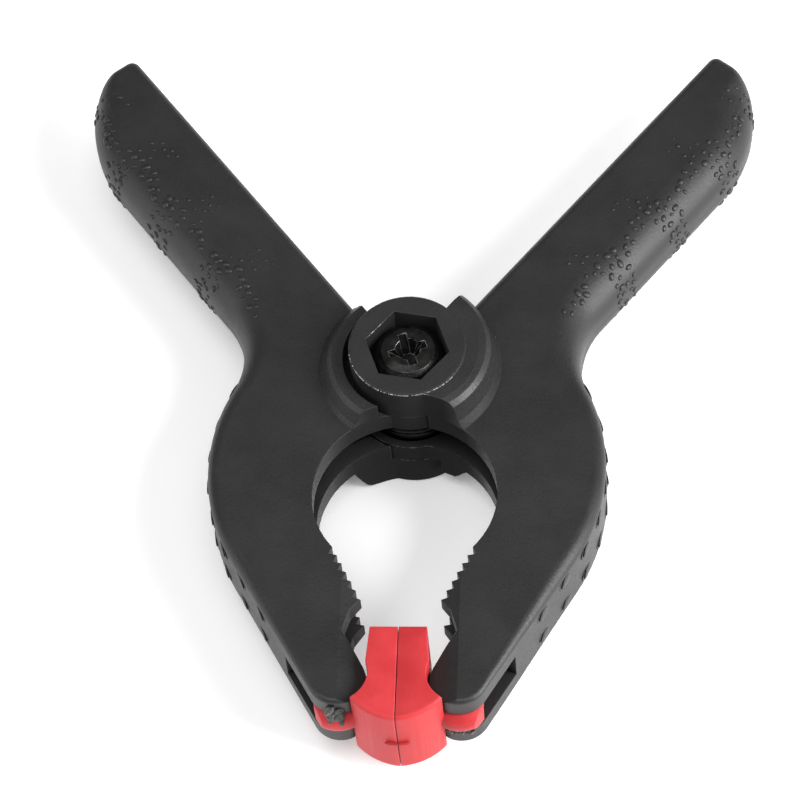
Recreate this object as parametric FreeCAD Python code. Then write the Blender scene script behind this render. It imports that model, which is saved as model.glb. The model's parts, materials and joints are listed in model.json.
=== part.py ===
import FreeCAD, Part
import os
from math import sin, cos, tan, radians, degrees, atan2, sqrt

# Spring clamp with two identical moulded arms, turned half a turn about the long axis to face
# each other, on one screw.  Millimetres.  +Y runs from the pivot to the handles, -Y to the
# jaws.  Shapes are drawn about the pivot axis and the middle plane, and moved at the end, so
# that the back pivot boss stands on Z = 0 with the clamp's middle at X = Y = 0.

# ---- driving dimensions -------------------------------------------------------------------
HANDLE_END = 45.4          # pivot axis to the handle ends, along the clamp
PAD_FRONT = 47.0           # pivot axis to the front of the pads
PIVOT_Y = (PAD_FRONT - HANDLE_END) / 2
ARM_THICK = 9.8            # over the two side plates of an arm
LIP = 2.8                  # side plate along the open edges and in the jaw fork
PLATE = 1.75               # side plate elsewhere
WEB = 2.2                  # outer wall that joins the two side plates
DEEP_CORE_END_Y = -31.0    # the side plates are thick from here to the jaw's tip
RIB_THICK = 1.2
RIB_FROM = 5.5             # ribs start this far from the handle's inner edge
RIB_SINK = 0.2             # ribs reach this far into the side plates
HANDLE_RIBS = (36.0, 44.0, 51.0)  # along the handle
JAW_RIBS = ((-13.0, 16.5, 22.5), (-22.0, 14.5, 20.5))  # y, inner x, outer x
BOSS_PROUD = 4.8           # pivot boss above the side plate
OVERLAP = 1.0              # features reach this far into the body they join or cut
OPEN_REACH = 12.0          # how far the open side's cutters reach past the arm
EDGE_ROUND = 0.3

HANDLE_ANGLE = 37.9        # handle axis from +Y
HANDLE_WIDTH = 11.8        # across the handle, inner edge to outer edge
HANDLE_SHIFT = 0.24        # inner edge of the handle from the pivot axis
HANDLE_ROUND = 4.2         # rounding of the outer side of the handle
HANDLE_TIP_ROUND = 1.3
NECK_ROUND = 2.2
JAW_ROUND = 1.4
JAW_TIP_ROUND = 0.6
END_LONG_R = 17.0          # handle end, first arc
END_SHORT_R = 6.5          # handle end, second arc
END_TURN = 40.0            # turn taken by the first arc
END_TIP_R = 1.1            # corner between the square end and the inner edge

NECK_X = 20.05             # narrowest half width, at the neck
NECK_Y = 2.2
SHOULDER_X = 23.2          # widest half width, at the shoulder
SHOULDER_Y = -13.0
JAW_ANGLE = 30.2           # outer side of the jaw from the Y axis
BAR_ANGLE = 29.4           # inner side of the jaw from the Y axis

THROAT_Y = -17.2           # centre of the round opening between the jaws
THROAT_R = 10.75
THROAT_END_Y = -24.3       # where the throat meets the first tooth
TOOTH_COUNT = 6
TOOTH_DEPTH = 0.75
LAST_TOOTH = (4.6, -30.75)
STEP_CORNER = (5.82, -32.3)  # set-back behind the last tooth, for the pad
STEP_FOOT = (6.55, -34.8)   # here the set-back meets the inner side of the bar
TIP_X = 6.9                # centre of the rounded jaw tip, also the pad's swivel axis
TIP_Y = -41.0
TIP_R = 3.35
SLOT_START_Y = -37.0       # the fork's slot through the outer wall starts here
BEVEL_X = 6.8              # bevel of the jaw's nose: inboard of this line
BEVEL_DROP = 1.2
BEVEL_START_Y = -27.0
BEVEL_END_Y = -60.0       # past the jaw's tip

BOSS_R = 6.95
CHEEK_R = 6.9
CHEEK_CUT_R = 7.15         # clearance round the other arm's cheek
CHEEK_SINK = 0.1           # cheek face below the side plate
BRIDGE_LAP = 0.2           # bridge between cheek and plate laps both
BOSS_GAP = 0.05            # boss underside above the side plate
SPIGOT_R = 4.5             # centring spigot under the boss
SPIGOT_DEEP = 0.65
# ridge beside the boss, and collar round the other arm's boss: radius, height above the plate
RIDGE_PROFILE = ((10.8, 0.0), (10.25, 1.3), (9.75, 3.9), (9.2, 4.5), (8.4, 4.68), (6.45, 4.68))
COLLAR_PROFILE = ((10.8, 0.0), (10.3, 0.7), (9.55, 2.0), (9.05, 2.6), (7.75, 2.6))
RUNNING = 0.06             # radial running clearance

HEX_FLATS = 8.7            # recess for the nut or the screw head
HEX_DEEP = 4.1
HEX_TURN = -10.0           # one corner of the recess from +X

SCREW_R = 2.48             # M5
SCREW_LENGTH = 15.0
SCREW_CHAMFER = 0.5
SEAT_GAP = 0.05            # under the head
# pan head: radius, height above its seat
HEAD_PROFILE = ((4.2, 0.0), (4.2, 1.5), (4.05, 2.1), (3.65, 2.6), (3.1, 3.0), (2.2, 3.22), (0.0, 3.3))
CROSS_SPAN = 4.9           # cross recess for a number 2 driver
CROSS_DEEP = 2.4
CROSS_WING = 1.0           # width of a wing
CROSS_POINT = 1.5          # span at the bottom
CROSS_CORE = (0.9, 1.5)    # radii of the cone between the wings, bottom and top
CROSS_TURN = 20.0          # wings from the X and Y axes
CROSS_OVER = 0.2
NUT_FLATS = 8.0
NUT_HIGH = 4.0
NUT_GAP = 0.02
NUT_CHAMFER = (0.6, 0.45)  # inwards and down at the corners
THREAD_GAP = 0.02

WIRE = 1.4                 # torsion spring
COIL_R = 5.0               # to the middle of the wire
COIL_PITCH = 1.56
COIL_TURNS = 3
LEG_SPLAY = 8.0            # leg's lean to the outer wall
LEG_LENGTH = 29.4
CHANNEL_GAP = 0.25         # beside the leg where it passes the back lip
CHANNEL_LENGTH = 13.0
POCKET_R = 5.95            # round the coil
HUB_R = 4.0                # inside the coil
HUB_GAP = 0.1

PAD_THICK = 12.0
PAD_GAP = 0.05             # grip face from the middle plane, jaws shut
PAD_BACK_Y = -35.25
PAD_BACK_X = 3.25
PAD_SEAT_GAP = 0.25        # between the pad's seat and the rounded jaw tip
PAD_SEAT_END = 157.0       # the seat's rear end, seen from the swivel axis
PAD_CORNER = (4.95, -44.55)
PAD_BULGE = (2.6, -46.3)   # on the curved front, between corner and grip face
PAD_ROUND = 0.5
TONGUE_THICK = 3.8
TONGUE_R = 4.2             # its full-round rim, from the swivel axis
TONGUE_EYE_R = 2.6         # round part about the trunnions
TONGUE_NECK_X = 4.4        # full thickness inboard of here
TONGUE_SIDES = ((3.4, -39.5), (3.4, -43.9), (5.4, -45.2), (8.4, -45.2), (9.6, -43.0))
TRUNNION_R = 1.5
TRUNNION_HIGH = 0.9
TRUNNION_CHAMFER = 0.3
SOCKET_DEEP = 1.05

HALF = ARM_THICK / 2
LIP_IN = HALF - LIP
PLATE_IN = HALF - PLATE
MID_Z = HALF + BOSS_PROUD
UP = FreeCAD.Vector(0, 0, 1)


# ---- small drawing helpers ----------------------------------------------------------------
def vec(x, y, z=0.0):
    return FreeCAD.Vector(x, y, z)


def polar(centre, radius, angle):
    return (centre[0] + radius * cos(radians(angle)), centre[1] + radius * sin(radians(angle)))


def line(a, b):
    return Part.LineSegment(vec(*a), vec(*b)).toShape()


def arc(centre, radius, start, end):
    points = [vec(*polar(centre, radius, a)) for a in (start, (start + end) / 2, end)]
    return Part.Arc(*points).toShape()


def prism(edges, low, high):
    """A wire of edges, filled and raised from low to high."""
    face = Part.Face(Part.Wire(Part.__sortEdges__(edges)))
    face.translate(vec(0, 0, low))
    return face.extrude(vec(0, 0, high - low))


def polygon(points):
    return [line(a, b) for a, b in zip(points, points[1:] + points[:1])]


def disc(radius, low, high, centre=(0, 0)):
    return Part.makeCylinder(radius, high - low, vec(centre[0], centre[1], low), UP)


def turned(profile):
    """A solid of revolution about Z from (radius, height) points."""
    points = [vec(r, 0, z) for r, z in profile]
    wire = Part.makePolygon(points + points[:1])
    return Part.Face(wire).revolve(vec(0, 0, 0), UP, 360)


def hexagon(flats, low, high, turn):
    radius = flats / 2 / cos(radians(30))
    corners = [polar((0, 0), radius, turn + 60 * k) for k in range(6)]
    return prism(polygon(corners), low, high)


def handle_point(along, across):
    """A point beside the handle's axis: along it from the pivot, outwards from its inner edge."""
    a = radians(HANDLE_ANGLE)
    out = across + HANDLE_SHIFT
    return (along * sin(a) + out * cos(a), along * cos(a) - out * sin(a))


def handle_end():
    """How far along the handle its square end lies, so that its corner reaches HANDLE_END."""
    a = radians(HANDLE_ANGLE)
    corner = HANDLE_END - END_TIP_R + (END_TIP_R + HANDLE_SHIFT) * sin(a)
    return corner / cos(a) + END_TIP_R


def end_arcs():
    """Centres of the two arcs that round the handle's outer side over to its end."""
    a = radians(END_TURN)
    step = END_LONG_R - END_SHORT_R
    short_c = (handle_end() - END_SHORT_R, HANDLE_WIDTH - END_LONG_R + step * cos(a))
    return (short_c[0] - step * sin(a), HANDLE_WIDTH - END_LONG_R), short_c


# ---- outline of one arm -------------------------------------------------------------------
def outer_side(inset):
    """The outer side as tangent lines and arcs, moved inwards by inset, handle end first."""
    turn = 90 - HANDLE_ANGLE
    long_c, short_c = end_arcs()
    end = handle_end() - inset
    side = HANDLE_ANGLE

    neck_r = neck_radius()
    neck_c = (NECK_X + neck_r, NECK_Y)
    upper_r = (neck_r ** 2 - (neck_c[0] - SHOULDER_X) ** 2 - (NECK_Y - SHOULDER_Y) ** 2)
    upper_r = upper_r / (2 * (neck_c[0] - SHOULDER_X - neck_r))
    upper_c = (SHOULDER_X - upper_r, SHOULDER_Y)
    join = degrees(atan2(neck_c[1] - upper_c[1], neck_c[0] - upper_c[0]))
    lower_r = shoulder_radius()
    lower_c = (SHOULDER_X - lower_r, SHOULDER_Y)

    tip_jaw = (TIP_X, TIP_Y)
    edges = [
        line(handle_point(end, END_TIP_R + inset), handle_point(end, short_c[1])),
        arc(handle_point(*short_c), END_SHORT_R - inset, turn, turn - 90 + END_TURN),
        arc(handle_point(*long_c), END_LONG_R - inset, turn - 90 + END_TURN, turn - 90),
        line(handle_point(long_c[0], HANDLE_WIDTH - inset), polar(neck_c, neck_r + inset, 180 - side)),
        arc(neck_c, neck_r + inset, 180 - side, 180 + join),
        arc(upper_c, upper_r - inset, join, 0),
        arc(lower_c, lower_r - inset, 0, -JAW_ANGLE),
        line(polar(lower_c, lower_r - inset, -JAW_ANGLE), polar(tip_jaw, TIP_R - inset, -JAW_ANGLE)),
    ]
    return edges


def neck_radius():
    """Neck arc that touches x = NECK_X at NECK_Y and the handle's straight outer side."""
    a = radians(HANDLE_ANGLE)
    side_x = (HANDLE_WIDTH + HANDLE_SHIFT) / cos(a) + NECK_Y * tan(a)
    return (NECK_X - side_x) * cos(a) / (1 - cos(a))


def shoulder_radius():
    """Shoulder arc that touches x = SHOULDER_X at SHOULDER_Y and the jaw's straight side."""
    a = radians(JAW_ANGLE)
    reach = TIP_R + (TIP_X - SHOULDER_X) * cos(a) + (SHOULDER_Y - TIP_Y) * sin(a)
    return reach / (1 - cos(a))


def teeth():
    """Saw edge from the throat's end towards the pad: peaks on a line, notches behind it."""
    first = throat_end()
    last = LAST_TOOTH
    across = (last[1] - first[1], first[0] - last[0])
    size = sqrt(across[0] ** 2 + across[1] ** 2)
    depth = (-across[0] / size * TOOTH_DEPTH, -across[1] / size * TOOTH_DEPTH)
    points = [first]
    for k in range(1, 2 * TOOTH_COUNT + 1):
        f = k / (2 * TOOTH_COUNT)
        x = first[0] + (last[0] - first[0]) * f
        y = first[1] + (last[1] - first[1]) * f
        if k % 2:
            x, y = x + depth[0], y + depth[1]
        points.append((x, y))
    return points


def throat_end():
    reach = sqrt(THROAT_R ** 2 - (THROAT_END_Y - THROAT_Y) ** 2)
    return (reach, THROAT_END_Y)


def inner_side():
    """The open side: handle's inner edge, pivot, throat, teeth, step and nose."""
    tip = (TIP_X, TIP_Y)
    end = throat_end()
    start_angle = degrees(atan2(end[1] - THROAT_Y, end[0]))
    throat_top = (0, THROAT_Y + THROAT_R)
    bar = 180 - BAR_ANGLE
    corner = handle_end() - END_TIP_R
    turn = 90 - HANDLE_ANGLE
    edges = [
        arc(handle_point(corner, END_TIP_R), END_TIP_R, turn, turn + 90),
        line(handle_point(corner, 0), handle_point(0, 0)),
        line(handle_point(0, 0), throat_top),
        arc((0, THROAT_Y), THROAT_R, 90, start_angle),
    ]
    row = teeth() + [STEP_CORNER, STEP_FOOT, polar(tip, TIP_R, bar)]
    edges += [line(a, b) for a, b in zip(row, row[1:])]
    edges.append(arc(tip, TIP_R, bar, 360 - JAW_ANGLE))
    return edges


def footprint(low, high):
    """The arm's outline as a block."""
    return prism(outer_side(0) + inner_side(), low, high)


def rounded_blank():
    """The arm as a full block, with its outer side rounded, most of all on the handle."""
    doc = FreeCAD.newDocument("blank")
    base = doc.addObject("Part::Feature", "Base")
    base.Shape = footprint(-HALF, HALF)
    doc.recompute()
    rounds = []
    for number, edge in enumerate(base.Shape.Edges, 1):
        radii = edge_rounding(edge)
        if radii:
            rounds.append((number,) + radii)
    fillet = doc.addObject("Part::Fillet", "Rounded")
    fillet.Base = base
    fillet.Edges = rounds
    doc.recompute()
    result = fillet.Shape.copy()
    FreeCAD.closeDocument("blank")
    return result


def edge_rounding(edge):
    """Radii at the start and end of an edge of the blank's rim, or nothing."""
    ends = [edge.valueAt(edge.FirstParameter), edge.valueAt(edge.LastParameter)]
    if abs(ends[0].z - ends[1].z) > 0.01:
        return None
    middle = edge.valueAt((edge.FirstParameter + edge.LastParameter) / 2)
    if not on_outer_side(middle):
        return None
    return tuple(rounding_at(p) for p in ends)


def rounding_at(point):
    """Full rounding on the handle, fading through the neck to a small one on the jaw."""
    along = point.x * sin(radians(HANDLE_ANGLE)) + point.y * cos(radians(HANDLE_ANGLE))
    if point.y < TIP_Y + TIP_R * 2:
        return JAW_TIP_ROUND
    if point.y < SHOULDER_Y + 1:
        return JAW_ROUND
    if point.y < NECK_Y:
        return NECK_ROUND
    if along > handle_end() - 0.5:
        return HANDLE_TIP_ROUND
    return HANDLE_ROUND


def on_outer_side(point):
    probe = Part.Vertex(vec(point.x, point.y))
    return any(probe.distToShape(edge)[0] < 0.01 for edge in outer_side(0))


# ---- hollows of one arm -------------------------------------------------------------------
def open_core():
    """Space between the lips: inside the outer wall, and open all along the inner side."""
    end = handle_end() - WEB
    wall = outer_side(WEB)
    handle_start = handle_point(end, END_TIP_R + WEB)
    jaw_end = polar((TIP_X, TIP_Y), TIP_R - WEB, -JAW_ANGLE)
    row = [jaw_end, (-OPEN_REACH, TIP_Y), (-OPEN_REACH, 0), handle_point(0, -OPEN_REACH),
           handle_point(end, -OPEN_REACH), handle_start]
    edges = wall + [line(a, b) for a, b in zip(row, row[1:])]
    return prism(edges, -LIP_IN, LIP_IN)


def fork_slot():
    """The slot that runs through the outer wall to the jaw's tip, with a rounded start."""
    a = radians(JAW_ANGLE)
    start = polar((TIP_X, TIP_Y), TIP_R, -JAW_ANGLE)
    reach = (SLOT_START_Y - start[1]) / cos(a)
    near = (start[0] + reach * sin(a), SLOT_START_Y)
    inner = (near[0] - OPEN_REACH * cos(a), near[1] + OPEN_REACH * sin(a))
    outer = (near[0] + OPEN_REACH * cos(a), near[1] - OPEN_REACH * sin(a))
    below = TIP_Y - OPEN_REACH
    row = [inner, outer, (outer[0], below), (-OPEN_REACH, below), (-OPEN_REACH, inner[1])]
    return prism(polygon(row), -LIP_IN, LIP_IN)


def deep_core():
    """The wider space behind the lips, with the round pocket for the spring's coil."""
    outline = Part.Face(Part.Wire(Part.__sortEdges__(outer_side(0) + inner_side())))
    inside = outline.makeOffset2D(-WEB)
    deep = inside.extrude(vec(0, 0, 2 * PLATE_IN))
    deep.translate(vec(0, 0, -PLATE_IN))
    keep = Part.makeBox(200, 200, 200, vec(-100, DEEP_CORE_END_Y, -100))
    deep = deep.common(keep)
    return deep.fuse(disc(POCKET_R, -PLATE_IN, PLATE_IN))


def leg_start():
    """Where the spring's right leg leaves the coil, and the direction it runs in."""
    lean = radians(HANDLE_ANGLE + LEG_SPLAY)
    return vec(COIL_R * cos(lean), -COIL_R * sin(lean)), vec(sin(lean), cos(lean))


def leg_channel():
    """The way through the back lip for the spring's leg, from the pocket to the deep core."""
    foot, ahead = leg_start()
    aside = vec(ahead.y, -ahead.x) * (WIRE / 2 + CHANNEL_GAP)
    end = foot + ahead * CHANNEL_LENGTH
    corners = [(p.x, p.y) for p in (foot - aside, foot + aside, end + aside, end - aside)]
    return prism(polygon(corners), -PLATE_IN, 0)


def ribs():
    """Cross ribs that stiffen the outer wall inside the handle and the jaw."""
    bars = []
    high = 2 * (PLATE_IN + RIB_SINK)
    outer = HANDLE_WIDTH - OVERLAP
    for along in HANDLE_RIBS:
        corners = [handle_point(along + a, w) for a, w in
                   ((0, RIB_FROM), (RIB_THICK, RIB_FROM), (RIB_THICK, outer), (0, outer))]
        bars.append(prism(polygon(corners), -high / 2, high / 2))
    for y, inner_x, outer_x in JAW_RIBS:
        bars.append(Part.makeBox(outer_x - inner_x, RIB_THICK, high, vec(inner_x, y, -high / 2)))
    return bars


# ---- pivot features of one arm ------------------------------------------------------------
def boss():
    """Front boss that covers the other arm's cheek, with the ridge beside it."""
    low = HALF + BOSS_GAP
    round_boss = disc(BOSS_R, low, MID_Z)
    round_boss = round_boss.makeFillet(EDGE_ROUND, [e for e in round_boss.Edges
                                                    if abs(e.CenterOfMass.z - MID_Z) < 0.01])
    foot = [(CHEEK_CUT_R, HALF - OVERLAP), (RIDGE_PROFILE[0][0], HALF - OVERLAP)]
    inside = [(RIDGE_PROFILE[-1][0], low), (CHEEK_CUT_R, low)]
    ridge = turned(foot + [(r, HALF + z) for r, z in RIDGE_PROFILE] + inside)
    return round_boss.fuse(ridge.common(footprint(HALF - 2 * OVERLAP, MID_Z + OVERLAP)))


def boss_bores():
    """Hexagon recess, screw hole and what is cut away below the boss."""
    recess = hexagon(HEX_FLATS, MID_Z - HEX_DEEP, MID_Z + OVERLAP, HEX_TURN)
    hole = disc(SCREW_R + RUNNING, HALF - 2 * OVERLAP, MID_Z)
    return [recess, hole]


def collar():
    """Low guide collar round the other arm's boss, on the back side plate."""
    foot = [(COLLAR_PROFILE[-1][0], HALF - OVERLAP), (COLLAR_PROFILE[0][0], HALF - OVERLAP)]
    ring = turned(foot + [(r, HALF + z) for r, z in COLLAR_PROFILE])
    return turn_over(ring.common(footprint(HALF - 2 * OVERLAP, MID_Z)))


def turn_over(shape):
    """Mirror through the middle plane."""
    return shape.mirror(vec(0, 0, 0), UP)


def cheek():
    """Back cheek under the other arm's boss, with the hub that the coil sits on."""
    outer = -HALF + CHEEK_SINK
    plate = disc(CHEEK_R, outer, -LIP_IN).cut(disc(POCKET_R, -PLATE_IN, 0))
    hub = disc(HUB_R, outer + HUB_GAP, -HUB_GAP)
    return plate.fuse(hub)


def cheek_bores():
    sink = disc(SPIGOT_R + RUNNING, -HALF - OVERLAP, -HALF + BOSS_GAP + SPIGOT_DEEP + HUB_GAP)
    hole = disc(SCREW_R + RUNNING, -HALF, 0)
    return [sink, hole]


def nose_bevel():
    """Wedges off both faces of the jaw's nose, inboard of a line along the jaw."""
    run = 2 * (BEVEL_X - TIP_X + TIP_R)
    wedge = [vec(BEVEL_X, BEVEL_END_Y, HALF), vec(BEVEL_X - run, BEVEL_END_Y, HALF - 2 * BEVEL_DROP),
             vec(BEVEL_X - run, BEVEL_END_Y, MID_Z), vec(BEVEL_X, BEVEL_END_Y, MID_Z)]
    face = Part.Face(Part.makePolygon(wedge + wedge[:1]))
    front = face.extrude(vec(0, BEVEL_START_Y - BEVEL_END_Y, 0))
    return [front, turn_over(front)]


def sockets():
    """Blind sockets in the fork for the pad's trunnions."""
    depth = LIP_IN + SOCKET_DEEP
    return disc(TRUNNION_R + RUNNING, -depth, depth, (TIP_X, TIP_Y))


def arm():
    """One arm: side plates, outer wall, boss in front and cheek behind."""
    blank = rounded_blank()
    lift = disc(CHEEK_CUT_R, -LIP_IN, HALF + OVERLAP)
    back_trim = disc(CHEEK_CUT_R, -HALF - OVERLAP, -LIP_IN)
    body = blank.cut([lift, back_trim, open_core(), fork_slot(), deep_core()])
    body = body.fuse([rib.common(blank) for rib in ribs()])
    body = body.fuse([back_bridge(), cheek(), collar(), boss(), spigot()])
    body = body.cut(boss_bores() + cheek_bores() + nose_bevel() + [sockets(), leg_channel()])
    return body.removeSplitter()


def back_bridge():
    """Back side plate between the cheek and the rest of the arm."""
    inside = disc(CHEEK_R - BRIDGE_LAP, -HALF, 0)
    ring = disc(CHEEK_CUT_R + BRIDGE_LAP, -HALF + CHEEK_SINK, -LIP_IN).cut(inside)
    ring = ring.common(footprint(-HALF, 0))
    return ring.cut(disc(POCKET_R, -PLATE_IN, 0))


def spigot():
    """Centring spigot under the boss, running in the other arm's cheek."""
    low = HALF + BOSS_GAP
    return disc(SPIGOT_R, low - SPIGOT_DEEP, low + BRIDGE_LAP)


def facing(shape):
    """Half a turn about the long axis."""
    return shape.rotated(vec(0, 0, 0), vec(0, 1, 0), 180)


# ---- screw, nut and spring ----------------------------------------------------------------
def pivot_screw():
    seat = MID_Z - HEX_DEEP + SEAT_GAP
    shank = disc(SCREW_R, seat - SCREW_LENGTH, seat)
    tip = shank.Edges[0] if shank.Edges[0].CenterOfMass.z < seat - OVERLAP else shank.Edges[2]
    shank = shank.makeChamfer(SCREW_CHAMFER, [tip])
    head = turned([(0, seat)] + [(r, seat + z) for r, z in HEAD_PROFILE])
    crown = seat + HEAD_PROFILE[-1][1]
    return shank.fuse(head).cut(cross_recess(crown)).removeSplitter()


def cross_recess(crown):
    """Four tapering wings that meet in a blunt point."""
    wings = []
    top = crown + CROSS_OVER
    bottom = crown - CROSS_DEEP
    side = -CROSS_WING / 2
    for k in range(2):
        profile = [vec(-CROSS_SPAN / 2, side, top), vec(CROSS_SPAN / 2, side, top),
                   vec(CROSS_POINT / 2, side, bottom), vec(-CROSS_POINT / 2, side, bottom)]
        wing = Part.Face(Part.makePolygon(profile + profile[:1])).extrude(vec(0, CROSS_WING, 0))
        wing.rotate(vec(0, 0, 0), UP, CROSS_TURN + 90 * k)
        wings.append(wing)
    core = Part.makeCone(CROSS_CORE[0], CROSS_CORE[1], CROSS_DEEP, vec(0, 0, bottom), UP)
    return wings[0].fuse([wings[1], core])


def hex_nut():
    high = -(MID_Z - HEX_DEEP + NUT_GAP)
    low = high - NUT_HIGH
    body = hexagon(NUT_FLATS, low, high, 180 - HEX_TURN)
    corner = NUT_FLATS / 2 / cos(radians(30))
    inwards, down = NUT_CHAMFER
    cone = turned([(0, low), (corner - inwards, low), (corner + NUT_GAP, low + down),
                   (corner + NUT_GAP, high - down), (corner - inwards, high), (0, high)])
    bore = disc(SCREW_R + THREAD_GAP, low - OVERLAP, high + OVERLAP)
    return body.common(cone).cut(bore)


def wire_arc(start, centre, axis, angle):
    """A bent stretch of wire that starts at a point and turns about an axis through centre."""
    along = axis.cross(start - centre)
    section = Part.Face(Part.Wire(Part.makeCircle(WIRE / 2, start, along)))
    return section.revolve(centre, axis, angle)


def torsion_spring():
    """The coil winds up from the right arm's leg to the left arm's, in half turns that tilt."""
    foot, ahead = leg_start()
    low = -COIL_TURNS * COIL_PITCH / 2
    down = vec(0, 0, -1)
    quarter = 90 - HANDLE_ANGLE - LEG_SPLAY
    wire = [wire_arc(vec(foot.x, foot.y, low), vec(0, 0, low), down, quarter)]
    for k in range(2 * COIL_TURNS):
        side = -1 if k % 2 == 0 else 1
        start = vec(0, side * COIL_R, low + k * COIL_PITCH / 2)
        centre = vec(0, 0, start.z + COIL_PITCH / 4)
        wire.append(wire_arc(start, centre, vec(0, -side * COIL_PITCH / 4, -COIL_R), 180))
    wire.append(wire_arc(vec(0, -COIL_R, -low), vec(0, 0, -low), down, quarter))
    for side in (1, -1):
        start = vec(side * foot.x, foot.y, side * low)
        along = vec(side * ahead.x, ahead.y)
        wire.append(Part.makeCylinder(WIRE / 2, LEG_LENGTH, start, along))
    return wire[0].fuse(wire[1:]).removeSplitter()


# ---- pads ---------------------------------------------------------------------------------
def pad():
    """Right pad: flat grip face, seat round the jaw's tip, curved front and a tongue."""
    tip = (TIP_X, TIP_Y)
    seat_r = TIP_R + PAD_SEAT_GAP
    corner_angle = degrees(atan2(PAD_CORNER[1] - TIP_Y, PAD_CORNER[0] - TIP_X))
    seat_low = polar(tip, seat_r, corner_angle)
    seat_high = polar(tip, seat_r, PAD_SEAT_END)
    back = (PAD_BACK_X, PAD_BACK_Y)
    front = (PAD_GAP, -PAD_FRONT)
    edges = [line((PAD_GAP, PAD_BACK_Y), back), line(back, seat_high),
             arc(tip, seat_r, PAD_SEAT_END, 360 + corner_angle),
             line(seat_low, PAD_CORNER),
             Part.Arc(vec(*PAD_CORNER), vec(*PAD_BULGE), vec(*front)).toShape(),
             line(front, (PAD_GAP, PAD_BACK_Y))]
    block = prism(edges, -PAD_THICK / 2, PAD_THICK / 2)
    rims = [e for e in block.Edges if abs(abs(e.CenterOfMass.z) - PAD_THICK / 2) < 0.01
            and e.CenterOfMass.y < PAD_CORNER[1] - 0.2]
    block = block.makeFillet(PAD_ROUND, rims)
    return block.fuse(tongue()).removeSplitter()


def tongue():
    """The round-rimmed tongue that fills the jaw's fork, with a trunnion on each side."""
    tip = (TIP_X, TIP_Y)
    half = TONGUE_THICK / 2
    sides = [polar(tip, TONGUE_EYE_R, 100)] + list(TONGUE_SIDES) + [polar(tip, TONGUE_EYE_R, -10)]
    blade = prism(polygon(sides), -half, half).fuse(disc(TONGUE_EYE_R, -half, half, tip))
    wheel = Part.makeTorus(TONGUE_R - half, half, vec(TIP_X, TIP_Y), UP)
    wheel = wheel.fuse(disc(TONGUE_R - half, -half, half, tip))
    neck = Part.makeBox(TONGUE_NECK_X, PAD_FRONT, TONGUE_THICK, vec(0, -PAD_FRONT, -half))
    inner = disc(TIP_R + PAD_SEAT_GAP + BRIDGE_LAP, -half, half, tip)
    trunnion = disc(TRUNNION_R, -half - TRUNNION_HIGH, half + TRUNNION_HIGH, tip)
    trunnion = trunnion.makeChamfer(TRUNNION_CHAMFER, [e for e in trunnion.Edges
                                                       if abs(e.CenterOfMass.z) > half])
    return [blade.common(wheel), blade.common(neck).common(inner), trunnion]


# ---- output -------------------------------------------------------------------------------
def save(name, shape):
    placed = shape.copy()
    placed.translate(vec(0, PIVOT_Y, MID_Z))
    placed.exportStep("parts/%s.step" % name)
    print(name, placed.isValid(), len(placed.Solids), round(placed.Volume, 1), placed.BoundBox)


def main():
    os.makedirs("parts", exist_ok=True)
    right = arm()
    save("right_arm", right)
    save("left_arm", facing(right))
    save("pivot_screw", pivot_screw())
    save("hex_nut", hex_nut())
    right_pad = pad()
    save("right_pad", right_pad)
    save("left_pad", facing(right_pad))
    save("torsion_spring", torsion_spring())


main()
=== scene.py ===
import json
from math import cos, radians, sin
from random import Random

import bmesh
import bpy
from mathutils import Matrix, Vector
from mathutils.bvhtree import BVHTree


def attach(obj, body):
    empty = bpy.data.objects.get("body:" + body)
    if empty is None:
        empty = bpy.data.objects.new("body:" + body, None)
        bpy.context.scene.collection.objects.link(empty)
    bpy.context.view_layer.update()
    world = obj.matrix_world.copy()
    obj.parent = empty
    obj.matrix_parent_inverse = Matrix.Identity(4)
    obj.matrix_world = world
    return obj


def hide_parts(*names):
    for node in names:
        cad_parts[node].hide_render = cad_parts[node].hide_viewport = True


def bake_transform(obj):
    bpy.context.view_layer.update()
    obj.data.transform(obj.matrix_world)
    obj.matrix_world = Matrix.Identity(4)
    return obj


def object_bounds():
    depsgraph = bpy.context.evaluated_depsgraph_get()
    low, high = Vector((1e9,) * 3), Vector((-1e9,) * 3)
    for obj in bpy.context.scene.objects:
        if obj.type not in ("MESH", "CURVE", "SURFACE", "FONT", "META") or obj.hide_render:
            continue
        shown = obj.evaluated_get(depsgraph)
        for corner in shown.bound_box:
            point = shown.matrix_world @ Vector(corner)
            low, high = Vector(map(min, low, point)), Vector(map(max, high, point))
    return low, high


# A spring clamp that rests on its back boss: black moulded arms, coral pads, dark screw.
# Metres.  +Y points to the handles, +X to the right arm, +Z from the nut to the screw head.

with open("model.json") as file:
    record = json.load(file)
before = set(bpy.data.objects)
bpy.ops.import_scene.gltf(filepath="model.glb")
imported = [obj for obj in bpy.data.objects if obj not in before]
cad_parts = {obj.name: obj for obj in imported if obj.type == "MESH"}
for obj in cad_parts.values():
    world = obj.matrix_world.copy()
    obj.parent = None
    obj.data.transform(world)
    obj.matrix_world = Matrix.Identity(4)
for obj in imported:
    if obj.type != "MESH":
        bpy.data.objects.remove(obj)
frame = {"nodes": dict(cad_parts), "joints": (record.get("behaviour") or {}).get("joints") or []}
CAD_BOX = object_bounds()
MM = 0.001
NODES = frame["nodes"]
HINGE = next(j for j in frame["joints"] if j["name"] == "arm_hinge")
PIVOT = Vector(HINGE["pos_m"])

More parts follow.
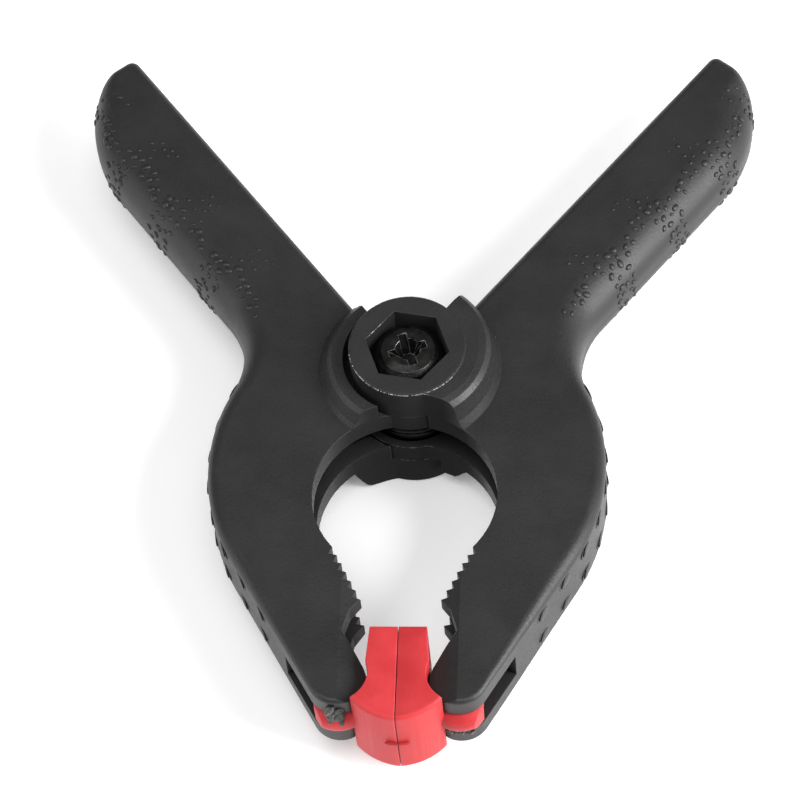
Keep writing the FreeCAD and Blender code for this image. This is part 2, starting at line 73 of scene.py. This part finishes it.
# ---- sizes of the arms, as in the CAD ---------------------------------------------------
HALF_THICK = 4.9 * MM         # half the thickness of an arm
BOSS_R = 6.95 * MM
BOSS_TOP = 9.7 * MM           # from the middle plane
HEX_CORNER_R = 5.02 * MM
HEX_EDGE = (170, 110)         # the recess edge with burr: its two corners, in degrees from +X
HANDLE_ANGLE = radians(37.9)  # handle axis from +Y
HANDLE_SHIFT = 0.24 * MM
HANDLE_WIDTH = 11.8 * MM
HANDLE_ROUND = 4.2 * MM       # rounding of the handle's outer side

# ---- sizes of the details ---------------------------------------------------------------
PEBBLE_BANDS = 4
BAND_FIRST = 23.9 * MM        # band nearest the pivot, along the handle
BAND_STEP = 10.1 * MM
PEBBLE_GAP = 0.9 * MM
PEBBLE_LENGTH = (0.6, 1.15)   # shortest and longest, mm
PEBBLE_WIDTH = (0.6, 0.85)    # share of the length
PEBBLE_HEIGHT = (0.16, 0.22)  # share of the length
PEBBLE_ON_FLAT = 0.6          # pebbles on the flat side plate are this much smaller
PEBBLE_LEAN = (0.15, 0.6)     # mean and spread of the turn from the handle's axis, radians
# stretches of a zigzag band: start and end as (along, across), half width, tries
BAND_PATHS = (((-0.6, 4.5), (2.0, 8.6), 1.3, 40),
              ((2.0, 8.6), (2.4, 14.0), 1.8, 130),
              ((-0.6, 8.0), (-5.4, 9.8), 1.3, 80))
BUMP_COUNT = 8                # grip bumps in each row along the jaw's outer wall
BUMP_STEP = 4.22 * MM
BUMP_FIRST_Y = -1.9 * MM      # from the pivot, down the clamp
BUMP_ROW = 2.5 * MM           # rows lie this far to each side of the middle plane
BUMP_TILT = radians(7)        # the end towards the jaw's tip stands proud
BUMP_SIZE = (2.7 * MM, 1.9 * MM, 0.15 * MM)  # length, width and height, as in add_dome
# thin near-black domes below the bumps: painted shadow under each bump's proud end
BUMP_SHADOW_SIZE = (1.0 * MM, 1.7 * MM, 0.05 * MM)
BUMP_SHADOW_SHIFT = 1.1 * MM        # from the bump's middle towards the jaw's tip
PROBE = 40 * MM               # start and reach of the rays that find the outer wall
SKIN_REACH = 8 * MM           # reach of the rays that find the handle's skin
BURR_ARC = (190, 322)         # the scuffed part of the boss rim, in degrees from +X
BURR_BREAKS = 0.3             # share of the rim without burr
BURR_LENGTH = (0.12, 0.34)    # mm
BURR_HEIGHT = (0.05, 0.10)    # mm
BURR_WIDTH = 0.14 * MM
BURR_INSET = 0.06 * MM        # from the rim
BURR_SINK = 0.08 * MM         # below the boss's top
HEX_BURR_COUNT = 26
HEX_BURR_SPAN = (0.08, 0.62)  # share of the recess edge that has burr
HEX_BURR_LENGTH = (0.1, 0.3)  # mm
HEX_BURR_HEIGHT = (0.03, 0.07)  # mm
HEX_BURR_WIDTH = 0.12 * MM
CRUMB_SIZE = (0.4, 1.0)       # crumbs of torn plastic, share of their box's least extent
PAD_ROUND = 0.3 * MM          # softened edges of the pads
PAD_CREASE = radians(28)      # edges sharper than this are softened
SLIT_HEIGHT = 9.95 * MM       # moulding slit low on the front of the pads, from the floor; drawn as a dark lens of painted shade
SLIT_SIZE = (2.9 * MM, 0.7 * MM, 0.09 * MM)
SLIT_MIDDLE = 0.1 * MM        # middle of each pad's lens, from the grip plane
SLIT_CUT = 0.08 * MM          # the half starts this far from the grip plane

# ---- floor, light and camera ------------------------------------------------------------
FLOOR_SIZE = 3.0
FLOOR_DROP = 0.02 * MM
WORLD_STRENGTH = 0.30
LIGHT_AIM = (0, 0, 0.01)
# area lights: place, width and height, watts
LIGHTS = {"key": ((0.58, -0.19, 0.32), (0.25, 0.72), 10.5),
          "top": ((-0.10, -0.20, 0.90), (0.7, 0.5), 4.6),
          "fill": ((-0.60, -0.20, 0.25), (0.25, 0.45), 1.6)}
AZIMUTH = radians(7.70)
ELEVATION = radians(58.12)
ROLL = radians(6.64)
DISTANCE = 479.2 * MM
AIM = (-1.777, 1.376, -4.68)  # from the pivot, mm
SENSOR = 36.0
LENS = 179.7
CLIP_START = 0.01


# ---- small helpers ----------------------------------------------------------------------
def link(name, data):
    """A new object in the scene with this mesh, light or camera."""
    piece = bpy.data.objects.new(name, data)
    bpy.context.scene.collection.objects.link(piece)
    return piece


def mesh_from(bm, name):
    """Turns a bmesh into a smooth-shaded mesh and frees it."""
    mesh = bpy.data.meshes.new(name)
    bm.to_mesh(mesh)
    bm.free()
    for polygon in mesh.polygons:
        polygon.use_smooth = True
    return mesh


def surface_of(node):
    """A node's mesh as a tree that rays can hit."""
    bm = bmesh.new()
    bm.from_mesh(NODES[node].data)
    tree = BVHTree.FromBMesh(bm)
    bm.free()
    return tree


def handle_point(along, across, height):
    """A point on the right handle: along it from the pivot, outwards from its inner edge."""
    out = across + HANDLE_SHIFT
    x = along * sin(HANDLE_ANGLE) + out * cos(HANDLE_ANGLE)
    y = along * cos(HANDLE_ANGLE) - out * sin(HANDLE_ANGLE)
    return PIVOT + Vector((x, y, height))


def half_turn(place):
    """Half a turn about the clamp's long axis: from the right arm to the left one."""
    return Vector((-place.x, place.y, 2 * PIVOT.z - place.z))


def turn_direction(direction):
    """The same half turn for a direction."""
    return Vector((-direction.x, direction.y, -direction.z))


def to_back(place):
    """The mirror point behind the middle plane."""
    return Vector((place.x, place.y, 2 * PIVOT.z - place.z))


def add_dome(bm, place, normal, along, size):
    """A flattened ball half sunk in the surface; size is length, width and height."""
    side = normal.cross(along).normalized()
    front = side.cross(normal).normalized()
    turn = Matrix((front, side, normal)).transposed().to_4x4()
    scale = Matrix.Diagonal((size[0] / 2, size[1] / 2, size[2], 1))
    matrix = Matrix.Translation(place) @ turn @ scale
    bmesh.ops.create_icosphere(bm, subdivisions=2, radius=1, matrix=matrix)


# ---- material helpers -------------------------------------------------------------------
EDGE_SAMPLES = 6
HOLLOW_SAMPLES = 8


class Nodes:
    """A short way to write a node tree: each call adds a node and gives its output."""

    def __init__(self, name):
        self.material = bpy.data.materials.new(name)
        self.material.use_nodes = True
        self.tree = self.material.node_tree
        self.shader = self.tree.nodes["Principled BSDF"]
        self.place = self.add("ShaderNodeTexCoord").outputs["Object"]

    def add(self, kind, **settings):
        node = self.tree.nodes.new(kind)
        for key, value in settings.items():
            setattr(node, key, value)
        return node

    def wire(self, source, target):
        self.tree.links.new(source, target)

    def noise(self, scale, detail, rough):
        node = self.add("ShaderNodeTexNoise")
        node.inputs["Scale"].default_value = scale
        node.inputs["Detail"].default_value = detail
        node.inputs["Roughness"].default_value = rough
        self.wire(self.place, node.inputs["Vector"])
        return node.outputs["Fac"]

    def cells(self, scale):
        node = self.add("ShaderNodeTexVoronoi")
        node.inputs["Scale"].default_value = scale
        self.wire(self.place, node.inputs["Vector"])
        return node.outputs["Distance"]

    def span(self, value, low, high, out_low=0.0, out_high=1.0):
        """Maps low..high to out_low..out_high, held at the ends."""
        node = self.add("ShaderNodeMapRange")
        node.inputs["From Min"].default_value = low
        node.inputs["From Max"].default_value = high
        node.inputs["To Min"].default_value = out_low
        node.inputs["To Max"].default_value = out_high
        self.wire(value, node.inputs["Value"])
        return node.outputs["Result"]

    def math(self, operation, a, b=0.0):
        node = self.add("ShaderNodeMath", operation=operation)
        for socket, value in zip(node.inputs, (a, b)):
            if isinstance(value, float):
                socket.default_value = value
            else:
                self.wire(value, socket)
        return node.outputs["Value"]

    def mix(self, factor, a, b):
        node = self.add("ShaderNodeMix", data_type="RGBA")
        self.wire(factor, node.inputs["Factor"])
        for socket, value in ((node.inputs[6], a), (node.inputs[7], b)):
            if isinstance(value, tuple):
                socket.default_value = value + (1.0,)
            else:
                self.wire(value, socket)
        return node.outputs[2]

    def edges(self, radius):
        """Near 1 on sharp edges and 0 on flats: how far a softened normal leans away."""
        soft = self.add("ShaderNodeBevel", samples=EDGE_SAMPLES)
        soft.inputs["Radius"].default_value = radius
        geometry = self.add("ShaderNodeNewGeometry")
        dot = self.add("ShaderNodeVectorMath", operation="DOT_PRODUCT")
        self.wire(soft.outputs["Normal"], dot.inputs[0])
        self.wire(geometry.outputs["Normal"], dot.inputs[1])
        flat, sharp = 0.995, 0.86
        return self.span(dot.outputs["Value"], flat, sharp)

    def crevice(self, reach, low, high):
        """1 deep in hollows and 0 on open faces."""
        node = self.add("ShaderNodeAmbientOcclusion", samples=HOLLOW_SAMPLES)
        node.inputs["Distance"].default_value = reach
        return self.span(node.outputs["AO"], high, low)

    def bumps(self, layers, radius):
        """Bump layers of (height, depth in metres) over edges softened to a radius."""
        soft = self.add("ShaderNodeBevel", samples=EDGE_SAMPLES)
        soft.inputs["Radius"].default_value = radius
        normal = soft.outputs["Normal"]
        for height, depth in layers:
            node = self.add("ShaderNodeBump")
            node.inputs["Distance"].default_value = depth
            self.wire(height, node.inputs["Height"])
            self.wire(normal, node.inputs["Normal"])
            normal = node.outputs["Normal"]
        self.wire(normal, self.shader.inputs["Normal"])

    def finish(self, colour, roughness, **constants):
        self.wire(colour, self.shader.inputs["Base Color"])
        self.wire(roughness, self.shader.inputs["Roughness"])
        for key, value in constants.items():
            self.shader.inputs[key.replace("_", " ")].default_value = value
        return self.material


def pivot_radius(n):
    """Distance from the pivot axis, and the way along Y from it."""
    split = n.add("ShaderNodeSeparateXYZ")
    n.wire(n.place, split.inputs["Vector"])
    x = split.outputs["X"]
    y = n.math("SUBTRACT", split.outputs["Y"], PIVOT.y)
    squares = n.math("ADD", n.math("MULTIPLY", x, x), n.math("MULTIPLY", y, y))
    return n.math("SQRT", squares), y


def near_boss_rim(n):
    """1 on the jaw side of a thin ring about the pivot axis, where the boss rim is scuffed."""
    radius, y = pivot_radius(n)
    inside = n.span(radius, BOSS_R + 0.5 * MM, BOSS_R + 0.2 * MM)
    outside = n.span(radius, BOSS_R - 1.0 * MM, BOSS_R - 0.6 * MM)
    towards_jaws = n.span(y, -1.5 * MM, -4.0 * MM)
    return n.math("MULTIPLY", n.math("MULTIPLY", inside, outside), towards_jaws)


def painted_shade_walls(n):
    """1 on the walls of the hexagon recess, on the jaw side of the pivot and deep in hollows:
    these get painted shade, near black, as they lie in shadow.
    """
    normal = n.add("ShaderNodeSeparateXYZ")
    n.wire(n.add("ShaderNodeNewGeometry").outputs["Normal"], normal.inputs["Vector"])
    radius, _ = pivot_radius(n)
    place = n.add("ShaderNodeSeparateXYZ")
    n.wire(n.place, place.inputs["Vector"])
    plate_top = PIVOT.z + HALF_THICK
    below_plate = n.span(place.outputs["Z"], plate_top + 0.1 * MM, plate_top)
    on_boss = n.span(radius, BOSS_R + 0.4 * MM, BOSS_R + 0.2 * MM)
    by_boss = n.math("MAXIMUM", below_plate, on_boss)
    upright = n.span(n.math("ABSOLUTE", normal.outputs["Z"]), 0.75, 0.35)
    recess = n.math("MULTIPLY", upright, n.span(radius, 5.4 * MM, 5.1 * MM))
    to_jaws = n.span(normal.outputs["Y"], -0.15, -0.6)
    throat = n.math("MULTIPLY", to_jaws, n.span(radius, 15 * MM, 11 * MM))
    end_wall = n.span(normal.outputs["Y"], -0.80, -0.92)
    throat = n.math("MULTIPLY", throat, n.math("MAXIMUM", by_boss, end_wall))
    # painted shade in hollows, from occlusion within 9 mm, added to the recess and throat walls
    return n.math("MAXIMUM", n.math("MAXIMUM", recess, throat), n.crevice(9 * MM, 0.15, 0.7))


def black_nylon():
    """Glass-filled nylon: matt black with a fine grain, mottled, scuffed pale on its edges."""
    n = Nodes("black_nylon")
    painted_shade = painted_shade_walls(n)
    mottle = n.noise(scale=160, detail=5, rough=0.6)
    grain = n.noise(scale=5200, detail=3, rough=0.7)
    pits = n.cells(2600)
    edge = n.edges(0.22 * MM)
    ragged = n.span(n.noise(scale=1500, detail=5, rough=0.75), 0.46, 0.62)
    worn = n.math("MULTIPLY", edge, ragged)
    rim = n.math("MULTIPLY", worn, near_boss_rim(n))
    # mottled black, grey on the grain, worn at edges, pale on the boss rim, near black where
    # shade is painted on shadowed walls and in hollows
    body = n.mix(n.span(mottle, 0.3, 0.7), (0.009, 0.009, 0.0092), (0.014, 0.014, 0.0142))
    body = n.mix(n.span(grain, 0.35, 0.8, 0.0, 0.35), body, (0.030, 0.030, 0.031))
    body = n.mix(n.math("MULTIPLY", worn, 0.35), body, (0.06, 0.06, 0.06))
    body = n.mix(n.math("MULTIPLY", rim, 0.9), body, (0.42, 0.42, 0.41))
    # painted shade: walls in shadow darkened to near black
    body = n.mix(n.math("MULTIPLY", painted_shade, 0.9), body, (0.002, 0.002, 0.002))
    gloss = n.span(mottle, 0.25, 0.75, 0.40, 0.50)
    gloss = n.math("ADD", gloss, n.span(grain, 0.3, 0.8, -0.05, 0.08))
    gloss = n.math("ADD", gloss, n.math("MULTIPLY", painted_shade, 0.5))
    n.bumps([(mottle, 0.05 * MM), (grain, 0.018 * MM), (pits, 0.012 * MM)], 0.14 * MM)
    return n.finish(body, gloss, Specular_IOR_Level=0.36)


def dark_steel():
    """Black oxidised steel, paler on the edges of the head and the recess: rubbed wear, and
    painted glints on the head's crown rim.
    """
    n = Nodes("dark_steel")
    cloud = n.noise(scale=900, detail=4, rough=0.6)
    fine = n.noise(scale=7000, detail=3, rough=0.6)
    edge = n.edges(0.12 * MM)
    rubbed_and_glint = n.math("MULTIPLY", edge, n.span(cloud, 0.38, 0.6))
    body = n.mix(n.span(cloud, 0.3, 0.7), (0.006, 0.006, 0.006), (0.016, 0.016, 0.015))
    # pale edges: partly rubbed wear, partly painted glints
    body = n.mix(rubbed_and_glint, body, (0.50, 0.50, 0.50))
    gloss = n.span(cloud, 0.3, 0.7, 0.22, 0.42)
    n.bumps([(cloud, 0.04 * MM), (fine, 0.01 * MM)], 0.08 * MM)
    return n.finish(body, gloss, Metallic=0.6)


def spring_steel():
    """Dark oily spring wire, faintly mottled."""
    n = Nodes("spring_steel")
    cloud = n.noise(scale=700, detail=4, rough=0.6)
    fine = n.noise(scale=6000, detail=2, rough=0.5)
    body = n.mix(n.span(cloud, 0.3, 0.7), (0.012, 0.012, 0.012), (0.03, 0.03, 0.029))
    n.bumps([(fine, 0.006 * MM)], 0.05 * MM)
    return n.finish(body, n.span(cloud, 0.3, 0.7, 0.22, 0.38), Metallic=1.0)


def coral_plastic(name, dark, light):
    """Soft coral red plastic: satin, faintly streaked, paler where it is thin at the edges."""
    n = Nodes(name)
    cloud = n.noise(scale=260, detail=4, rough=0.55)
    grain = n.noise(scale=4200, detail=3, rough=0.65)
    edge = n.math("MULTIPLY", n.edges(0.3 * MM), n.span(cloud, 0.35, 0.6))
    body = n.mix(n.span(cloud, 0.3, 0.7), dark, light)
    body = n.mix(n.math("MULTIPLY", edge, 0.3), body, (0.70, 0.16, 0.16))
    gloss = n.span(cloud, 0.3, 0.7, 0.42, 0.55)
    n.bumps([(cloud, 0.06 * MM), (grain, 0.012 * MM)], 0.2 * MM)
    return n.finish(body, gloss, Subsurface_Weight=0.12, Subsurface_Scale=0.0015,
                    Subsurface_Radius=(1.0, 0.25, 0.2), Specular_IOR_Level=0.2)


def torn_plastic(name, pale):
    """Stress-whitened black plastic where a moulding gate was broken off or an edge scuffed; made
    all near black, it also serves as the painted shadow under the grip bumps.
    """
    n = Nodes(name)
    cloud = n.noise(scale=1800, detail=5, rough=0.8)
    fibres = n.cells(3000)
    body = n.mix(n.span(cloud, 0.42, 0.66), (0.012, 0.012, 0.012), pale)
    n.bumps([(cloud, 0.12 * MM), (fibres, 0.06 * MM)], 0.05 * MM)
    return n.finish(body, n.span(cloud, 0.3, 0.7, 0.35, 0.65))


def paper_floor():
    """Plain white studio sheet with the faintest tooth."""
    n = Nodes("paper_floor")
    tooth = n.noise(scale=900, detail=3, rough=0.6)
    body = n.mix(tooth, (0.93, 0.93, 0.93), (0.96, 0.96, 0.96))
    n.bumps([(tooth, 0.01 * MM)], 0.01 * MM)
    return n.finish(body, n.span(tooth, 0.0, 1.0, 0.85, 0.95), Specular_IOR_Level=0.1,
                    Emission_Color=(1, 1, 1, 1), Emission_Strength=0.13)


def dress(piece, material):
    piece.data.materials.clear()
    piece.data.materials.append(material)


# ---- details on the arms ----------------------------------------------------------------
def handle_skin(along, across):
    """A ray's start and direction at the right handle's front skin; across follows the skin."""
    start_of_round = HANDLE_WIDTH - HANDLE_ROUND
    if across < start_of_round:
        return handle_point(along, across, HALF_THICK * 2), Vector((0, 0, -1))
    angle = (across - start_of_round) / HANDLE_ROUND
    out = Vector((cos(HANDLE_ANGLE), -sin(HANDLE_ANGLE), 0))
    normal = out * sin(angle) + Vector((0, 0, cos(angle)))
    centre = handle_point(along, start_of_round, HALF_THICK - HANDLE_ROUND)
    return centre + normal * HANDLE_ROUND * 2, -normal


def pebble_tries(rng):
    """Random spots on the zigzag bands, as (along, across) for handle_skin."""
    for band in range(PEBBLE_BANDS):
        origin = BAND_FIRST + band * BAND_STEP
        for start, end, half_width, tries in BAND_PATHS:
            for _ in range(tries):
                f = rng.random()
                stray = rng.uniform(-1, 1) * half_width
                along = origin + (start[0] + (end[0] - start[0]) * f + stray) * MM
                stray = rng.uniform(-0.5, 0.5) * half_width
                across = (start[1] + (end[1] - start[1]) * f + stray) * MM
                yield along, across


def handle_pebbles(name, arm, body, material):
    """Zigzag bands of small raised pebbles over the rounded side of a handle, front and back."""
    left = arm == "left_arm"
    tree = surface_of(arm)
    rng = Random(name)
    bm = bmesh.new()
    axis = Vector((sin(HANDLE_ANGLE), cos(HANDLE_ANGLE), 0))
    if left:
        axis = turn_direction(axis)
    placed = []
    for front in (True, False):
        for along, across in pebble_tries(rng):
            start, ray = handle_skin(along, across)
            if left:
                start, ray = half_turn(start), turn_direction(ray)
            if not front:
                start, ray = to_back(start), Vector((ray.x, ray.y, -ray.z))
            place, normal, _, _ = tree.ray_cast(start, ray, SKIN_REACH)
            if place is None or any((place - other).length < PEBBLE_GAP for other in placed):
                continue
            placed.append(place)
            lean = Matrix.Rotation(rng.gauss(*PEBBLE_LEAN), 3, normal) @ axis
            length = rng.uniform(*PEBBLE_LENGTH) * MM
            if across < HANDLE_WIDTH - HANDLE_ROUND:
                length *= PEBBLE_ON_FLAT
            width = length * rng.uniform(*PEBBLE_WIDTH)
            height = length * rng.uniform(*PEBBLE_HEIGHT)
            add_dome(bm, place, normal, lean, (length, width, height))
    finish_detail(bm, name, body, material)


def grip_bumps(name, arm, body, material, painted_bump_shadow):
    """Two rows of low oval bumps down the outer wall, each with a thin near-black dome on its jaw
    side: a painted shadow under the bump's proud end.
    """
    side = 1 if arm == "right_arm" else -1
    tree = surface_of(arm)
    bm = bmesh.new()
    shade = bmesh.new()
    for row in (1, -1):
        for k in range(BUMP_COUNT):
            y = PIVOT.y + BUMP_FIRST_Y - k * BUMP_STEP
            start = Vector((side * PROBE, y, PIVOT.z + row * BUMP_ROW))
            place, normal, _, _ = tree.ray_cast(start, Vector((-side, 0, 0)), PROBE)
            if place is None:
                continue
            along = Vector((0, 0, 1)).cross(normal)
            if along.y < 0:
                along.negate()
            tilted = normal * cos(BUMP_TILT) + along * sin(BUMP_TILT)
            add_dome(bm, place, tilted, along, BUMP_SIZE)
            # painted shadow: a thin near-black dome just below the bump
            add_dome(shade, place - along * BUMP_SHADOW_SHIFT, normal, along, BUMP_SHADOW_SIZE)
    finish_detail(bm, name, body, material)
    finish_detail(shade, name + "_grime", body, painted_bump_shadow)


def ragged_stub(name, place, size, count, body, material):
    """Torn crumbs of plastic within a box, where a moulding gate or flash broke off."""
    rng = Random(name)
    middle = PIVOT + Vector(place) * MM
    bm = bmesh.new()
    for _ in range(count):
        offset = Vector([rng.uniform(-0.5, 0.5) * extent * MM for extent in size])
        lean = Vector([rng.gauss(0, 1) for _ in range(3)]).normalized()
        crumb = [rng.uniform(*CRUMB_SIZE) * min(size) * MM for _ in range(3)]
        add_dome(bm, middle + offset, lean.orthogonal().normalized(), lean, crumb)
    finish_detail(bm, name, body, material)


def moulding_marks(nylon, torn):
    """Stubs and nibs, each on one arm only: middle from the pivot, extent and crumbs, in mm."""
    ragged_stub("left_gate_stub", (-7.05, -44.35, 2.2), (1.5, 0.9, 2.6), 46, "left_side", torn)
    ragged_stub("right_tip_flash", (6.9, -44.2, -2.4), (3.2, 0.35, 0.8), 40, "right_side", torn)
    ragged_stub("right_ridge_nib", (9.85, 4.05, 4.95), (0.5, 0.3, 0.3), 6, "right_side", nylon)


def rim_burr(material):
    """Broken lines of pale burr on the boss's top edge and on one edge of its recess."""
    rng = Random("rim")
    bm = bmesh.new()
    up = Vector((0, 0, 1))
    radius = BOSS_R - BURR_INSET
    for angle in range(*BURR_ARC):
        if rng.random() < BURR_BREAKS:
            continue
        turn = radians(angle + rng.uniform(-0.5, 0.5))
        rim = Vector((radius * cos(turn), radius * sin(turn), BOSS_TOP - BURR_SINK))
        around = Vector((-sin(turn), cos(turn), 0))
        size = (rng.uniform(*BURR_LENGTH) * MM, BURR_WIDTH, rng.uniform(*BURR_HEIGHT) * MM)
        add_dome(bm, PIVOT + rim, up, around, size)
    start, end = [Vector((cos(radians(a)), sin(radians(a)), 0)) * HEX_CORNER_R for a in HEX_EDGE]
    for _ in range(HEX_BURR_COUNT):
        edge = PIVOT + start.lerp(end, rng.uniform(*HEX_BURR_SPAN)) + up * BOSS_TOP
        size = (rng.uniform(*HEX_BURR_LENGTH) * MM, HEX_BURR_WIDTH,
                rng.uniform(*HEX_BURR_HEIGHT) * MM)
        add_dome(bm, edge, up, (end - start).normalized(), size)
    finish_detail(bm, "boss_rim_burr", "right_side", material)


def finish_detail(bm, name, body, material):
    """Makes the piece of a detail moulded in one with an arm."""
    piece = link(name, mesh_from(bm, name))
    dress(piece, material)
    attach(piece, body)


# ---- pieces that stand for CAD nodes ----------------------------------------------------
def merged_copy(node, name):
    """A copy of a node's mesh with its facets joined into whole faces again."""
    bm = bmesh.new()
    bm.from_mesh(NODES[node].data)
    bmesh.ops.remove_doubles(bm, verts=bm.verts, dist=0.002 * MM)
    bmesh.ops.dissolve_limit(bm, angle_limit=radians(1.0), verts=bm.verts, edges=bm.edges)
    return link(name, mesh_from(bm, name))


def soft_pad(name, node, body, material):
    """A pad with softened edges."""
    piece = merged_copy(node, name)
    bevel = piece.modifiers.new("Rounded edges", "BEVEL")
    bevel.width = PAD_ROUND
    bevel.segments = 3
    bevel.limit_method = "ANGLE"
    bevel.angle_limit = PAD_CREASE
    dress(piece, material)
    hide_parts(node)
    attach(piece, body)


def pad_slit(name, body, side, material):
    """One pad's half of the slit low on the front, drawn as a thin dark lens on the surface:
    painted shade inside the crease.
    """
    front = min(corner[1] for corner in CAD_BOX)
    bm = bmesh.new()
    add_dome(bm, Vector((side * SLIT_MIDDLE, front, SLIT_HEIGHT)), Vector((0, 0, 1)),
             Vector((1, 0, 0)), SLIT_SIZE)
    geometry = bm.verts[:] + bm.edges[:] + bm.faces[:]
    bmesh.ops.bisect_plane(bm, geom=geometry, plane_co=(side * SLIT_CUT, 0, 0),
                           plane_no=(side, 0, 0), clear_inner=True)
    piece = link(name, mesh_from(bm, name))
    dress(piece, material)
    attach(piece, body)


def bent_spring(material):
    """The torsion spring as in the CAD, with doubled points merged: one leg on each arm and the
    coil between them.
    """
    bm = bmesh.new()
    bm.from_mesh(NODES["torsion_spring"].data)
    bmesh.ops.remove_doubles(bm, verts=bm.verts, dist=0.0005 * MM)
    piece = link("wound_spring", mesh_from(bm, "wound_spring"))
    dress(piece, material)
    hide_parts("torsion_spring")
    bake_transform(piece)


# ---- stage ------------------------------------------------------------------------------
def stage_floor():
    bm = bmesh.new()
    bmesh.ops.create_grid(bm, x_segments=2, y_segments=2, size=FLOOR_SIZE)
    floor = link("floor", mesh_from(bm, "floor"))
    floor.location.z = -FLOOR_DROP
    dress(floor, paper_floor())


def area_light(name, place, size, power):
    """A rectangular lamp aimed at the clamp."""
    light = bpy.data.lights.new(name, "AREA")
    light.shape = "RECTANGLE"
    light.size, light.size_y = size
    light.energy = power
    lamp = link(name, light)
    lamp.location = place
    towards = Vector(LIGHT_AIM) - Vector(place)
    lamp.rotation_euler = towards.to_track_quat("-Z", "Y").to_euler()


def studio_light():
    world = bpy.data.worlds.new("studio")
    world.use_nodes = True
    background = world.node_tree.nodes["Background"]
    background.inputs["Color"].default_value = (1, 1, 1, 1)
    background.inputs["Strength"].default_value = WORLD_STRENGTH
    bpy.context.scene.world = world
    bpy.context.scene.view_settings.view_transform = "Standard"
    for name, (place, size, power) in LIGHTS.items():
        area_light(name, place, size, power)


def place_camera():
    """Looks down on the front from 58 degrees, a little from the right, rolled clockwise."""
    back = Vector((sin(AZIMUTH) * cos(ELEVATION), -cos(AZIMUTH) * cos(ELEVATION),
                   sin(ELEVATION)))
    right = Vector((cos(AZIMUTH), sin(AZIMUTH), 0))
    up = back.cross(right)
    across = right * cos(ROLL) - up * sin(ROLL)
    upward = right * sin(ROLL) + up * cos(ROLL)
    camera = bpy.data.cameras.new("camera")
    camera.sensor_width = SENSOR
    camera.lens = LENS
    camera.clip_start = CLIP_START
    viewer = link("camera", camera)
    turn = Matrix((across, upward, back)).transposed().to_4x4()
    aim = PIVOT + Vector(AIM) * MM
    viewer.matrix_world = Matrix.Translation(aim + back * DISTANCE) @ turn
    bpy.context.scene.camera = viewer


# ---- the whole --------------------------------------------------------------------------
def main():
    nylon = black_nylon()
    steel = dark_steel()
    coral = coral_plastic("coral_plastic", (0.36, 0.020, 0.024), (0.43, 0.030, 0.034))
    # a lighter copy of the same coral for the left pad: painted light, for that pad's
    # brighter-lit top face
    coral_lit = coral_plastic("coral_painted_lighter", (0.42, 0.026, 0.031), (0.49, 0.038, 0.043))
    torn = torn_plastic("torn_plastic", (0.13, 0.14, 0.13))
    scuffed = torn_plastic("scuffed_plastic", (0.42, 0.42, 0.41))
    # painted shadow under the grip bumps: near black all over
    painted_bump_shadow = torn_plastic("painted_bump_shadow", (0.004, 0.004, 0.004))
    for node in ("right_arm", "left_arm"):
        dress(NODES[node], nylon)
    for node in ("pivot_screw", "hex_nut"):
        dress(NODES[node], steel)
    for side in ("right", "left"):
        handle_pebbles(side + "_pebbles", side + "_arm", side + "_side", nylon)
    for side in ("right", "left"):
        grip_bumps(side + "_grip_bumps", side + "_arm", side + "_side", nylon, painted_bump_shadow)
    soft_pad("right_pad_soft", "right_pad", "right_swivel", coral)
    soft_pad("left_pad_soft", "left_pad", "left_swivel", coral_lit)
    painted_slit_shade = coral_plastic("coral_in_shadow", (0.24, 0.010, 0.013), (0.28, 0.014, 0.017))
    pad_slit("right_slit", "right_swivel", 1, painted_slit_shade)
    pad_slit("left_slit", "left_swivel", -1, painted_slit_shade)
    moulding_marks(nylon, torn)
    rim_burr(scuffed)
    bent_spring(spring_steel())
    stage_floor()
    studio_light()
    place_camera()


main()
